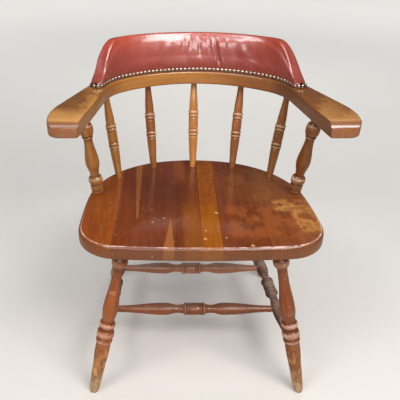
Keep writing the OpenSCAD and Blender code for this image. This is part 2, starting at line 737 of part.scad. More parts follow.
// ---- crest ----
ring_n = 18;
function layer_end(o) = crest_half_l - o;
function layer_half(s, o) = max(1.2, (crest_half(s) - o) * nose(s, layer_end(o), crest_tip_w / 2 - o));
function layer_point(s, o, j) = let(
  th = 180 * j / ring_n, hw = layer_half(s, o), h = max(2, crest_height(abs(s) + o) - o),
  r0 = crest_inset(s) + crest_half(s), z = h * pow(sin(th), 0.52),
  r = r0 - hw * power(cos(th), 0.62) * (1 - 0.12 * z / crest_h) + z * tan(lean(s)),
  p = path(s, r)) [p[0], p[1], z];
function layer_ring(s, o) = [for (j = [0:ring_n]) layer_point(s, o, j)];
// stations: closer together at the shoulders and tips
station_n = 29;
function station(i) = let(q = 2 * i / station_n - 1) q < 0 ? -pow(-q, 0.86) : pow(q, 0.86);
tip_q = [0.9985, 0.994, 0.984, 0.967, 0.945];
function stations(e) = concat(
  [-1 * e],
  [for (q = tip_q) -q * e],
  [for (i = [1:station_n - 1]) station(i) * e * 0.963],
  [for (i = [len(tip_q) - 1:-1:0]) tip_q[i] * e],
  [e]);

// solid with a flat base
module crest_solid(o, e) {
  ss = stations(e);
  n = ring_n + 1;
  pts = [for (s = ss) each layer_ring(s, o)];
  m = len(ss);
  polyhedron(points = pts, faces = concat(
    [for (i = [0:m - 2], j = [0:n - 1]) let(k = (j + 1) % n) [i * n + j, i * n + k, (i + 1) * n + k]],
    [for (i = [0:m - 2], j = [0:n - 1]) let(k = (j + 1) % n) [i * n + j, (i + 1) * n + k, (i + 1) * n + j]],
    [[for (j = [n - 1:-1:0]) j]],
    [[for (j = [0:n - 1]) (m - 1) * n + j]]), convexity = 8);
}

// skin between offsets o and q, open along its base
module crest_skin(o, ps, w) {
  ss = stations(layer_end(o));
  n = ring_n + 1;
  t = 2 * n;
  m = len(ss);
  pts = [for (s = ss) let(u = s * layer_end(o + w) / layer_end(o), q = o + (ps ? skin_pad(u) : w))
    each concat(layer_ring(s, o), [for (j = [ring_n:-1:0]) layer_point(u, q, j)])];
  polyhedron(points = pts, faces = concat(
    [for (i = [0:m - 2], j = [0:t - 1]) let(k = (j + 1) % t) [i * t + j, i * t + k, (i + 1) * t + k]],
    [for (i = [0:m - 2], j = [0:t - 1]) let(k = (j + 1) % t) [i * t + j, (i + 1) * t + k, (i + 1) * t + j]],
    [for (j = [0:n - 2]) [j + 1, j, t - 1 - j]],
    [for (j = [0:n - 2]) [j + 1, t - 1 - j, t - 2 - j]],
    [for (j = [0:n - 2]) [(m - 1) * t + j, (m - 1) * t + j + 1, (m - 1) * t + t - 1 - j]],
    [for (j = [0:n - 2]) [(m - 1) * t + j + 1, (m - 1) * t + t - 2 - j, (m - 1) * t + t - 1 - j]]),
    convexity = 8);
}
function skin_pad(s) = pad(s);

pad_o = leather_t + soft_gap;
core_o = pad_o + pad_t + soft_gap;
core_half_l = crest_half_l - 26;

module crest_core() {
  color(wood_turned)
    place()
      difference() {
        translate([0, 0, bow_top])
          crest_solid(core_o, core_half_l);
        for (s = [-screw_s2, -screw_s1, screw_s1, screw_s2])
          screw_line(s)
            cylinder(r = screw_d / 2 + joint_clear, h = screw_pocket + screw_l + 1, $fn = 32);
      }
}

module crest_padding() {
  color([0.85, 0.8, 0.7])
    place()
      translate([0, 0, bow_top])
        crest_skin(pad_o, true, pad_tip_t);
}

module crest_leather() {
  color([0.55, 0.13, 0.1])
    place()
      translate([0, 0, bow_top])
        crest_skin(0, false, leather_t);
}

// ---- border nails ----
module nail() {
  rotate_extrude($fn = 40)
    polygon(concat(
      [[0, 0]],
      [for (i = [0:4]) [nail_d / 2 * cos(90 * i / 4), 0.3 + (nail_h - 0.3) * sin(90 * i / 4)]]));
}

nail_z = nail_d / 2 + nail_clear;

// one nail at place p, pointing along heading a and up by t
module nail_at(p, a, t) {
  translate([p[0], p[1], bow_top + nail_z])
    rotate([0, 90 - t, a])
      nail();
}

// front and back faces, f is -1 front and 1 back
run_l = crest_half_l - crest_tip_w / 2;
function crest_mid(s) = crest_inset(s) + crest_half(s) + nail_z * tan(lean(s));
function face_pt(s, f) = path(s, crest_mid(s) + f * (crest_half(s) + soft_gap));
function square_to(p, q) = atan2(q[1] - p[1], q[0] - p[0]) - 90;

// the faces are longer or shorter than the path: their stretch on the back curve and in the corners
function stretch_back(f) = 1 + (f < 0 ? 2 : crest_w) / bow_in_r;
function stretch_corner(f) = 1 + (f < 0 ? 6 : 6 + crest_tip_w) / bow_in_corner_r;
function face_l(f) = il1 * stretch_back(f) + (run_l - il1) * stretch_corner(f);
function station_at(u, f) = let(l = il1 * stretch_back(f))
  sign(u) * (abs(u) <= l ? abs(u) / stretch_back(f) : il1 + (abs(u) - l) / stretch_corner(f));
front_n = floor(2 * face_l(-1) / nail_pitch);
back_n = floor(2 * face_l(1) / nail_pitch);

// nails a to b of a row of n on face f
module nail_run(a, b, n, f) {
  union()
    for (i = [a:b]) {
      s = station_at((2 * i / n - 1) * face_l(f), f);
      nail_at(face_pt(s, f), square_to(face_pt(s - 0.5, f), face_pt(s + 0.5, f)) + (f < 0 ? 0 : 180),
        -f * lean(s));
    }
}

module nail_row(a, b, n, f) {
  color([0.35, 0.3, 0.22])
    place()
      for (g = [a:6:b])
        nail_run(g, min(g + 5, b), n, f);
}

// four nails round a tip, e is -1 left and 1 right, a counted from straight ahead
function tip_pt(e, a) = let(
  n = crest_tip_w / 2, r = n / pow(pow(abs(cos(a)), 3) + pow(abs(sin(a)), 3), 1 / 3) + soft_gap)
  path(e * (run_l + r * cos(a)), crest_mid(run_l) + r * sin(a));
module tip_nails(e) {
  color([0.35, 0.3, 0.22])
    place()
      union()
        for (a = [-54:36:54])
          nail_at(tip_pt(e, a), square_to(tip_pt(e, a - e), tip_pt(e, a + e)), 0);
}

front_third = floor(front_n / 3);
back_third = floor(back_n / 3);

module nails_front_left() {
  nail_row(0, front_third, front_n, -1);
  tip_nails(-1);
}
module nails_front_middle() { nail_row(front_third + 1, front_n - front_third - 1, front_n, -1); }
module nails_front_right() {
  nail_row(front_n - front_third, front_n, front_n, -1);
  tip_nails(1);
}
module nails_back_left() { nail_row(0, back_third, back_n, 1); }
module nails_back_middle() { nail_row(back_third + 1, back_n - back_third - 1, back_n, 1); }
module nails_back_right() { nail_row(back_n - back_third, back_n, back_n, 1); }

// ---- crest screws ----
module crest_screw(s) {
  color([0.6, 0.6, 0.6])
    place()
      screw_line(s)
        translate([0, 0, screw_pocket])
          rotate_extrude($fn = 32)
            polygon([[0, -3], [screw_head_d / 2 - 0.6, -3], [screw_head_d / 2, -2.4], [screw_head_d / 2, 0],
              [screw_d / 2, 0], [screw_d / 2, screw_l - 5], [0.6, screw_l], [0, screw_l]]);
}

module crest_screw_1() { crest_screw(-screw_s2); }
module crest_screw_2() { crest_screw(-screw_s1); }
module crest_screw_3() { crest_screw(screw_s1); }
module crest_screw_4() { crest_screw(screw_s2); }

seat_board_1();
seat_board_2();
seat_board_3();
seat_board_4();
seat_board_5();
seat_board_6();
seat_board_7();
seat_board_8();
seat_board_9();
front_left_leg();
front_right_leg();
rear_left_leg();
rear_right_leg();
left_side_stretcher();
right_side_stretcher();
front_cross_stretcher();
rear_cross_stretcher();
middle_spindle();
inner_left_spindle();
inner_right_spindle();
outer_left_spindle();
outer_right_spindle();
left_arm_post();
right_arm_post();
left_arm();
right_arm();
bow_dowel_front();
bow_dowel_rear();
crest_core();
crest_padding();
crest_leather();
nails_front_left();
nails_front_middle();
nails_front_right();
nails_back_left();
nails_back_middle();
nails_back_right();
crest_screw_1();
crest_screw_2();
crest_screw_3();
crest_screw_4();
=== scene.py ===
"""Wooden captain's chair with a padded leather crest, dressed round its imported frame."""

import math

import bpy
import numpy as np
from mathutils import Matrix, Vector


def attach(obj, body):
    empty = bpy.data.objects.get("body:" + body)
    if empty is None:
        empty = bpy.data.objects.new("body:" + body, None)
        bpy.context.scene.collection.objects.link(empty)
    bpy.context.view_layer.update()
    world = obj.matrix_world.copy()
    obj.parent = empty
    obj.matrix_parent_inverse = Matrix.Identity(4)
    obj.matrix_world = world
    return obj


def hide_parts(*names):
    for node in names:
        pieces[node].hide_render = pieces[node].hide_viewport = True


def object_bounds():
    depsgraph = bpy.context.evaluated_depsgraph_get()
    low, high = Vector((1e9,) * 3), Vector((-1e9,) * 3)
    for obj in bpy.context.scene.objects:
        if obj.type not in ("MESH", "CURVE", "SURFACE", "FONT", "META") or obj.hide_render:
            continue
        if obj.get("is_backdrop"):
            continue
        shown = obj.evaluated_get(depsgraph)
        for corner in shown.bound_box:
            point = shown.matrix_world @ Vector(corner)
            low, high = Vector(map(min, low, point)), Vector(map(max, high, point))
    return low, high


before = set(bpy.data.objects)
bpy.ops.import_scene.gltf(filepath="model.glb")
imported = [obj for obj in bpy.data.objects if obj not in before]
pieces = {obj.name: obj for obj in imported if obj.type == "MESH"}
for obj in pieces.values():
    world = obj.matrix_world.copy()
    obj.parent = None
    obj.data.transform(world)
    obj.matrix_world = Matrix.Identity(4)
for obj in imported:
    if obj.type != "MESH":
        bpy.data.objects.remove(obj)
cad_low, cad_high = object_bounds()


# ---- Floor, camera and light ----
# A plain pale floor that runs out of sight, seen from a standing height a little to one side
# of the chair. Two softboxes and two sheen panels in front give the lacquer its highlights,
# weak fills that nothing mirrors light the shaded sides, and the mirrored room is dark.
def linear(r, g, b):
    """A colour as it looks on a screen, 0 to 255, as the linear colour that a shader takes."""
    shares = (r / 255, g / 255, b / 255)
    return tuple(c / 12.92 if c <= 0.04045 else ((c + 0.055) / 1.055) ** 2.4 for c in shares) + (1.0,)


class Shader:
    """A short way to write nodes: each call returns the output that the next one takes."""

    def __init__(self, tree):
        self.tree = tree

    def feed(self, socket, value):
        if isinstance(value, bpy.types.NodeSocket):
            self.tree.links.new(value, socket)
        else:
            socket.default_value = value

    def add(self, kind, inputs, **settings):
        made = self.tree.nodes.new(kind)
        for name, value in settings.items():
            setattr(made, name, value)
        for name, value in inputs.items():
            self.feed(made.inputs[name], value)
        return made

    def place(self):
        return self.add("ShaderNodeTexCoord", {}).outputs["Object"]

    def split(self, vector):
        return self.add("ShaderNodeSeparateXYZ", {0: vector}).outputs

    def facing(self):
        """How far the surface faces +X, +Y and +Z."""
        return self.split(self.add("ShaderNodeNewGeometry", {}).outputs["Normal"])

    def read(self, attribute, output):
        return self.add("ShaderNodeAttribute", {}, attribute_name=attribute).outputs[output]

    def placed(self, effect_name, inputs):
        """The outputs of a shared effect, placed in this tree with its own values."""
        return self.add("ShaderNodeGroup", inputs, node_tree=bpy.data.node_groups[effect_name]).outputs

    def math(self, operation, a, b=0.0):
        return self.add("ShaderNodeMath", {0: a, 1: b}, operation=operation).outputs[0]

    def plus(self, a, b):
        return self.math("ADD", a, b)

    def less(self, a, b):
        return self.math("SUBTRACT", a, b)

    def times(self, first, *others):
        for other in others:
            first = self.math("MULTIPLY", first, other)
        return first

    def stretch(self, vector, factors):
        inputs = {0: vector, 1: factors}
        return self.add("ShaderNodeVectorMath", inputs, operation="MULTIPLY").outputs[0]

    def gap(self, vector, point):
        inputs = {0: vector, 1: point}
        return self.add("ShaderNodeVectorMath", inputs, operation="DISTANCE").outputs["Value"]

    def noise(self, vector, scale, detail=2.0, roughness=0.5):
        inputs = {"Vector": vector, "Scale": scale, "Detail": detail, "Roughness": roughness}
        return self.add("ShaderNodeTexNoise", inputs).outputs[0]

    def swing(self, vector, scale, detail, roughness, reach):
        """Noise that swings about nought, to make an edge waver."""
        return self.times(self.less(self.noise(vector, scale, detail, roughness), 0.5), reach)

    def band(self, value, low, high, to_low=0.0, to_high=1.0):
        """A smooth rise from to_low, where the value is low, to to_high, where it is high."""
        inputs = {"Value": value, "From Min": low, "From Max": high, "To Min": to_low, "To Max": to_high}
        return self.add("ShaderNodeMapRange", inputs, interpolation_type="SMOOTHSTEP").outputs[0]

    def fall(self, value, low, high):
        return self.band(value, low, high, 1.0, 0.0)

    def window(self, value, low, full, until, gone):
        """Rises from low to full, stays at 1, and falls from until to gone."""
        return self.times(self.band(value, low, full), self.fall(value, until, gone))

    def mix(self, factor, a, b, blend="MIX"):
        inputs = {0: factor, 6: a, 7: b}
        return self.add("ShaderNodeMix", inputs, data_type="RGBA", blend_type=blend).outputs[2]

    def over(self, under, mask, strength, paint):
        """The colour under, with a screen colour laid over it where the mask is."""
        return self.mix(self.times(mask, strength), under, linear(*paint))

    def bump(self, height, strength, distance):
        inputs = {"Strength": strength, "Distance": distance, "Height": height}
        return self.add("ShaderNodeBump", inputs).outputs[0]


def material(name, roughness, **constants):
    """A new material: its Shader and its Principled BSDF, with the constant inputs set on their sockets."""
    made = bpy.data.materials.new(name)
    made.use_nodes = True
    principled = made.node_tree.nodes["Principled BSDF"]
    principled.inputs["Roughness"].default_value = roughness
    for key, value in constants.items():
        principled.inputs[key.replace("_", " ").title().replace("Ior", "IOR")].default_value = value
    return made, Shader(made.node_tree), principled


def mesh_piece(name, points, faces, surface):
    """A new smooth mesh object of one material."""
    mesh = bpy.data.meshes.new(name)
    mesh.from_pydata([tuple(p) for p in points], [], faces)
    mesh.materials.append(surface)
    for face in mesh.polygons:
        face.use_smooth = True
    made = bpy.data.objects.new(name, mesh)
    bpy.context.scene.collection.objects.link(made)
    return made


floor_paint, g, floor_bsdf = material("pale floor", 0.7)
where = g.place()
ray = g.add("ShaderNodeLightPath", {}).outputs
paint = g.mix(g.noise(where, 1.3), linear(226, 222, 214), linear(234, 231, 224))
distance = g.add("ShaderNodeVectorMath", {0: where}, operation="LENGTH").outputs["Value"]
# the lacquer mirrors a browner floor that darkens with distance
mirrored = g.mix(g.band(distance, 1.5, 2.7), linear(176, 160, 142), linear(64, 56, 48))
g.feed(floor_bsdf.inputs["Base Color"], g.mix(ray["Is Glossy Ray"], paint, mirrored))
# far off the floor glows a little, so that it meets the backdrop without a line
far = g.band(distance, 0.7, 4.5, 0.0, 0.62)
g.feed(floor_bsdf.inputs["Emission Color"], linear(232, 229, 222))
g.feed(floor_bsdf.inputs["Emission Strength"], g.times(far, ray["Is Camera Ray"]))
floor_reach = 14.0
corners = [(x * floor_reach, y * floor_reach, 0.0) for x, y in ((-1, -1), (1, -1), (1, 1), (-1, 1))]
floor = mesh_piece("floor", corners, [(0, 1, 2, 3)], floor_paint)
floor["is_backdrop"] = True

scene = bpy.context.scene
camera = bpy.data.objects.new("camera", bpy.data.cameras.new("camera"))
camera.location = (-0.0951, -1.1381, 1.1112)
camera_dip = 29.6
camera.rotation_euler = (math.radians(90 - camera_dip), 0.0, 0.0)
camera.data.sensor_width = 36.0
camera.data.lens = 48.6
camera.data.shift_x = 0.106
camera.data.shift_y = -0.051
scene.collection.objects.link(camera)
scene.camera = camera

world = bpy.data.worlds.new("studio")
world.use_nodes = True
g = Shader(world.node_tree)
ray = g.add("ShaderNodeLightPath", {}).outputs
sky = world.node_tree.nodes["Background"]
around = g.mix(ray["Is Glossy Ray"], (0.90, 0.93, 1.0, 1.0), (0.12, 0.13, 0.15, 1.0))
g.feed(sky.inputs[0], g.mix(ray["Is Camera Ray"], around, (1.92, 1.88, 1.78, 1.0)))
sky.inputs[1].default_value = 0.42
scene.world = world
scene.view_settings.view_transform = "Standard"


def softbox(name, place, aim, width, depth, power, colour=(1.0, 1.0, 1.0), mirrored=True, lit=True):
    """A lamp of this width, depth and power: mirrored, it shows in gloss, and lit, it lights dull faces."""
    lamp = bpy.data.lights.new(name, "AREA")
    lamp.shape = "RECTANGLE"
    lamp.size = width
    lamp.size_y = depth
    lamp.energy = power
    lamp.color = colour
    made = bpy.data.objects.new(name, lamp)
    made.location = place
    made.rotation_euler = (Vector(aim) - Vector(place)).to_track_quat("-Z", "Y").to_euler()
    made.visible_glossy = mirrored
    made.visible_diffuse = lit
    scene.collection.objects.link(made)


warm = (1.0, 0.96, 0.95)
softbox("left front", (-1.00, -0.92, 1.98), (0.0, 0.2, 0.7), 0.66, 0.44, 11.0, warm)
softbox("right front", (0.78, -1.12, 1.94), (0.0, 0.2, 0.7), 1.10, 0.62, 27.0, warm)
softbox("room ahead", (-0.2, -2.9, 2.3), (0.0, 0.1, 0.6), 3.6, 1.2, 11.0, (1.0, 0.96, 0.98), mirrored=False)
softbox("sheen", (0.0, -1.03, 2.3), (0.0, 0.2, 0.7), 2.4, 0.8, 17.0, (0.90, 0.96, 1.06), lit=False)
softbox("low sheen", (-0.1, -2.6, 1.9), (0.0, 0.1, 0.4), 3.0, 0.5, 34.0, (0.94, 0.97, 1.02), lit=False)
softbox("ceiling", (0.1, -0.75, 2.6), (0.0, 0.0, 0.5), 2.2, 0.35, 7.0, (1.0, 0.98, 0.95), mirrored=False)
softbox("low fill", (-0.6, -2.6, 0.7), (0.0, 0.0, 0.3), 1.4, 0.8, 10.0, mirrored=False)
softbox("back fill", (0.3, 2.3, 1.6), (0.0, 0.0, 0.6), 1.4, 1.0, 14.0, mirrored=False)


# ---- Seat ----
# Nine boards of stained hardwood, edge-glued, cut to one outline and rounded over, under
# a glossy lacquer that years of use have rubbed through at the right front corner.
def effect(name, inputs, outputs):
    """A node group with these named sockets: the Shader on it, its inputs and its output node's inputs."""
    kinds = {"v": "NodeSocketVector", "c": "NodeSocketColor", "f": "NodeSocketFloat"}
    tree = bpy.data.node_groups.new(name, "ShaderNodeTree")
    for label, kind in inputs.items():
        tree.interface.new_socket(name=label, in_out="INPUT", socket_type=kinds[kind])
    for label, kind in outputs.items():
        tree.interface.new_socket(name=label, in_out="OUTPUT", socket_type=kinds[kind])
    source = tree.nodes.new("NodeGroupInput")
    return Shader(tree), source.outputs, tree.nodes.new("NodeGroupOutput").inputs


def dots(g, place, scale, core, edge, kept_from, kept_to):
    """Scattered round dots, solid to core and gone at edge, kept where their chance passes the last two."""
    cells = g.add("ShaderNodeTexVoronoi", {"Vector": place, "Scale": scale, "Randomness": 1.0}).outputs
    chance = g.add("ShaderNodeSeparateColor", {0: cells["Color"]}).outputs[0]
    return g.times(g.fall(cells["Distance"], core, edge), g.band(chance, kept_from, kept_to))


# wood grain, whose x runs along the fibres: streaks, fine fibres and pores in the stain
g, given, put = effect(
    "wood grain", {"Grain": "v", "Stain": "c", "Heart": "c", "Figure": "f"}, {"Color": "c", "Height": "f"})
streak = g.noise(g.stretch(given["Grain"], (5.0, 95.0, 95.0)), 1.0, 3.0, 0.55)
fibre = g.noise(g.stretch(given["Grain"], (22.0, 520.0, 520.0)), 1.0, 2.0)
cloud = g.noise(g.stretch(given["Grain"], (7.0, 19.0, 19.0)), 1.0, 2.0)
pores = g.band(g.noise(g.stretch(given["Grain"], (60.0, 1500.0, 1500.0)), 1.0, 1.0), 0.60, 0.72)
body = g.mix(g.times(g.band(streak, 0.36, 0.68), given["Figure"]), given["Stain"], given["Heart"])
body = g.mix(g.times(g.band(cloud, 0.35, 0.75), given["Figure"], 0.6), body, given["Heart"])
body = g.mix(g.band(fibre, 0.3, 0.8, 0.0, 0.18), body, (0.0, 0.0, 0.0, 1.0), "MULTIPLY")
g.feed(put["Color"], g.mix(g.times(pores, 0.35), body, given["Heart"]))
g.feed(put["Height"], g.less(g.times(fibre, 0.5), pores))

# handling wear: knocks, rubbed places and hairline scratches in two directions
g, given, put = effect(
    "handling wear", {"Place": "v", "Amount": "f"}, {"Scratch": "f", "Chip": "f", "Rub": "f"})
lines = []
for angle, patch in ((0.35, 17.0), (2.0, 23.0)):
    spin = {"Vector": given["Place"], "Angle": angle}
    turned = g.add("ShaderNodeVectorRotate", spin, rotation_type="Z_AXIS").outputs[0]
    hair = g.math("ABSOLUTE", g.less(g.noise(g.stretch(turned, (150.0, 9.0, 60.0)), 1.0, 0.0), 0.5))
    seen = g.band(g.noise(turned, patch, 1.0), 0.60, 0.66)
    lines.append(g.times(g.fall(hair, 0.0, 0.02), seen))
g.feed(put["Scratch"], g.times(g.math("MAXIMUM", *lines), given["Amount"]))
g.feed(put["Chip"], g.times(dots(g, given["Place"], 38.0, 0.045, 0.115, 0.72, 0.76), given["Amount"]))
g.feed(put["Rub"], g.band(g.noise(given["Place"], 16.0, 4.0, 0.62), 0.48, 0.66))


def round_shading():
    """A modifier tree that welds a CAD piece's faces and shades them as one surface up to an angle."""
    weld = 0.00002
    crease = math.radians(48)
    tree = bpy.data.node_groups.new("round shading", "GeometryNodeTree")
    for in_out in ("INPUT", "OUTPUT"):
        tree.interface.new_socket(name="Geometry", in_out=in_out, socket_type="NodeSocketGeometry")
    s = Shader(tree)
    source = tree.nodes.new("NodeGroupInput").outputs[0]
    welded = s.add("GeometryNodeMergeByDistance", {"Geometry": source, "Distance": weld}).outputs[0]
    smooth = {"Geometry": welded, "Shade Smooth": True}
    smoothed = s.add("GeometryNodeSetShadeSmooth", smooth, domain="FACE").outputs[0]
    angle = s.add("GeometryNodeInputMeshEdgeAngle", {}).outputs[0]
    over_crease = {"data_type": "FLOAT", "operation": "GREATER_THAN"}
    sharp = s.add("FunctionNodeCompare", {0: angle, 1: crease}, **over_crease).outputs[0]
    edges = {"Geometry": smoothed, "Selection": sharp, "Shade Smooth": False}
    edged = s.add("GeometryNodeSetShadeSmooth", edges, domain="EDGE").outputs[0]
    s.feed(tree.nodes.new("NodeGroupOutput").inputs[0], edged)
    return tree


rounding = round_shading()


def points_of(piece):
    flat = np.zeros(len(piece.data.vertices) * 3)
    piece.data.vertices.foreach_get("co", flat)
    return flat.reshape(-1, 3)


def dress(piece, surface, grain, ridge=None, stain=None):
    """Gives a CAD piece its material, its shading and what the material reads from the mesh."""
    mesh = piece.data
    if "custom_normal" in mesh.attributes:
        mesh.attributes.remove(mesh.attributes["custom_normal"])
    mesh.materials.clear()
    mesh.materials.append(surface)
    mesh.polygons.foreach_set("material_index", np.zeros(len(mesh.polygons), np.int32))
    grains = mesh.attributes.new("grain", "FLOAT_VECTOR", "POINT")
    grains.data.foreach_set("vector", np.asarray(grain, np.float32).ravel())
    if ridge is not None:
        ridges = mesh.attributes.new("ridge", "FLOAT", "POINT")
        ridges.data.foreach_set("value", np.asarray(ridge, np.float32))
    if stain is not None:
        colours = np.tile(np.asarray(stain, np.float32), (len(mesh.vertices), 1))
        mesh.attributes.new("stain", "FLOAT_COLOR", "POINT").data.foreach_set("color", colours.ravel())
    piece.modifiers.new("round shading", "NODES").node_group = rounding


def sapwood(g, x, y, waver, middle, tip_y, end_y, tip_half, end_half, lean):
    """A pale streak along a board, whose half width goes from tip_half to end_half between two depths."""
    blur = 0.0015
    start = 0.004
    drift = g.times(g.less(y, tip_y), lean)
    across = g.math("ABSOLUTE", g.plus(g.less(g.less(x, middle), drift), waver))
    taper = {"Value": y, "From Min": tip_y, "From Max": end_y, "To Min": tip_half, "To Max": end_half}
    half = g.add("ShaderNodeMapRange", taper).outputs[0]
    inside = g.band(g.less(half, across), -blur, blur)
    begins = g.band if end_y > tip_y else g.fall
    return g.times(inside, begins(y, tip_y - start, tip_y + start))


def stripe(g, x, waver, middle, core, edge):
    """A stripe along the boards, solid to core from its middle and gone at edge."""
    return g.fall(g.math("ABSOLUTE", g.plus(g.less(x, middle), waver)), core, edge)


seat_finish, g, seat_bsdf = material(
    "seat lacquer over stain", 0.42, specular_ior_level=0.15,
    coat_weight=0.75, coat_roughness=0.09, coat_ior=1.5)
place = g.place()
plan = g.stretch(place, (1.0, 1.0, 0.0))
broad = g.stretch(place, (1.0, 0.8, 0.0))
x, y, _ = g.split(place)
upward = g.facing()[2]
stain = g.read("stain", "Color")
wood = g.placed("wood grain", {
    "Grain": g.read("grain", "Vector"), "Stain": stain,
    "Heart": g.mix(1.0, stain, linear(168, 132, 128), "MULTIPLY"), "Figure": 0.32})
wear = g.placed("handling wear", {"Place": place, "Amount": 1.0})
ragged = g.swing(place, 42.0, 4.0, 0.6, 0.034)
waver = g.swing(place, 14.0, 2.0, 0.5, 0.008)

# pale sapwood in two boards, and two paler stripes in front of and behind the middle
colour = wood["Color"]
back_streak = sapwood(
    g, x, y, waver, middle=-0.1415, tip_y=-0.125, end_y=0.145, tip_half=0.0022, end_half=0.0085, lean=-0.008)
colour = g.over(colour, back_streak, 0.85, (160, 94, 38))
front_streak = sapwood(
    g, x, y, 0.0, middle=-0.0655, tip_y=-0.128, end_y=-0.246, tip_half=0.0004, end_half=0.0115, lean=0.055)
colour = g.over(colour, front_streak, 0.8, (160, 100, 46))
front_stripe = g.times(stripe(g, x, waver, -0.018, 0.013, 0.025), g.fall(y, -0.115, -0.02))
colour = g.over(colour, front_stripe, 0.5, (150, 88, 24))
back_stripe = g.times(stripe(g, x, waver, -0.038, 0.008, 0.020), g.band(y, 0.03, 0.10))
colour = g.over(colour, back_stripe, 0.5, (150, 80, 34))
# a darker cloud in the middle of the plum-coloured boards
cloud = g.gap(g.stretch(place, (1.0, 0.55, 0.0)), (-0.085, 0.0, 0.0))
colour = g.over(colour, g.fall(g.plus(cloud, ragged), 0.02, 0.09), 0.45, (66, 32, 24))
# the lacquer is a hazy golden brown behind the bare corner, with amber clouds round it and in front
haze = g.fall(g.plus(g.gap(broad, (0.150, 0.036, 0.0)), g.times(ragged, 3.0)), 0.03, 0.105)
haze = g.times(haze, g.band(g.noise(plan, 20.0, 4.0, 0.6), 0.40, 0.60, 0.35, 1.0))
colour = g.over(colour, haze, 0.36, (160, 104, 52))
amber = g.band(g.noise(broad, 17.0, 5.0, 0.6), 0.47, 0.55)
amber = g.times(amber, g.band(x, 0.045, 0.075), g.window(y, -0.215, -0.19, -0.085, -0.055))
colour = g.over(colour, amber, 0.5, (158, 84, 38))
# the golden board, the one with next to no blue in its stain, is flecked with brown towards the back
golden = g.fall(g.add("ShaderNodeSeparateColor", {0: stain}).outputs[2], 0.004, 0.007)
flecks = g.band(g.noise(place, 80.0, 5.0, 0.75), 0.47, 0.55)
flecked = g.times(golden, flecks, g.band(g.plus(y, ragged), -0.075, -0.04))
colour = g.over(colour, flecked, 0.75, (126, 54, 8))
# stain worn down to honey-coloured wood at the right front, with a squared step in its edge
step = g.band(y, -0.094, -0.092, 0.214, 0.176)
reach = g.less(x, g.plus(step, ragged))
left_over = g.fall(g.noise(place, 30.0, 3.0, 0.6), 0.52, 0.60)
bare = g.times(g.band(reach, -0.002, 0.005), g.window(y, -0.195, -0.165, -0.045, -0.03), left_over)
honey = g.mix(g.band(g.noise(place, 75.0, 3.0, 0.6), 0.35, 0.65), linear(148, 94, 46), linear(184, 128, 66))
colour = g.mix(g.times(bare, 0.85), colour, honey)
# painted shade: the rounded edge and the other faces that don't look up are painted a darker brown; painted
# highlight: the upper corner of the edge is painted pale at the front
colour = g.over(colour, g.window(upward, -0.6, -0.2, 0.45, 0.93), 0.6, (112, 70, 42))
# painted highlight along the top front edge, broken up by noise
arris = g.times(g.window(upward, 0.80, 0.90, 0.93, 0.985), g.band(y, -0.20, -0.06, 1.0, 0.2))
edge_highlight = g.times(arris, g.band(g.noise(place, 60.0, 4.0, 0.7), 0.42, 0.60, 0.25, 1.0))
colour = g.over(colour, edge_highlight, 0.8, (244, 208, 194))
# scratches, chips and fine specks, the specks mostly towards the right front
colour = g.over(colour, wear["Scratch"], 0.22, (190, 140, 105))
colour = g.over(colour, wear["Chip"], 0.8, (214, 184, 150))
specks = g.times(dots(g, place, 85.0, 0.07, 0.15, 0.90, 0.92), g.band(g.less(x, y), -0.02, 0.16, 0.25, 1.0))
colour = g.over(colour, specks, 0.75, (224, 176, 120))
# larger knocks, each at its place in plan and with its reach in metres
knocks = [
    (0.009, -0.175, 0.0035), (0.006, -0.208, 0.0045), (0.102, -0.234, 0.0045), (0.040, -0.099, 0.005),
    (0.174, -0.207, 0.0018), (0.228, -0.196, 0.0022), (-0.085, 0.03, 0.0016)]
jitter = g.swing(place, 120.0, 3.0, 0.7, 0.009)
for knock_x, knock_y, knock_r in knocks:
    knock = g.fall(g.plus(g.gap(plan, (knock_x, knock_y, 0.0)), jitter), knock_r * 0.6, knock_r)
    colour = g.over(colour, knock, 0.75, (212, 168, 108))
g.feed(seat_bsdf.inputs["Base Color"], colour)
dull = g.plus(g.times(wear["Rub"], 0.12), g.times(bare, 0.2))
g.feed(seat_bsdf.inputs["Roughness"], g.plus(dull, 0.34))
lacquer_lost = g.plus(g.times(bare, 0.6), g.times(wear["Scratch"], 0.5))
g.feed(seat_bsdf.inputs["Coat Weight"], g.less(0.8, lacquer_lost))
height = g.less(g.times(wood["Height"], 0.4), g.plus(wear["Scratch"], wear["Chip"]))
g.feed(seat_bsdf.inputs["Normal"], g.bump(height, 0.25, 0.0004))

board_stains = [
    (152, 78, 24), (128, 63, 28), (124, 62, 34), (116, 56, 22), (162, 92, 10),
    (126, 64, 32), (116, 58, 24), (130, 70, 36), (142, 82, 44)]
# the grain runs from front to back, and each board is cut from another part of the timber
next_board = np.array((3.7, 1.3, 0.0))
for i, tone in enumerate(board_stains):
    board = pieces[f"seat_board_{i + 1}"]
    grain = points_of(board)[:, (1, 0, 2)] + i * next_board
    dress(board, seat_finish, grain, stain=linear(*tone))
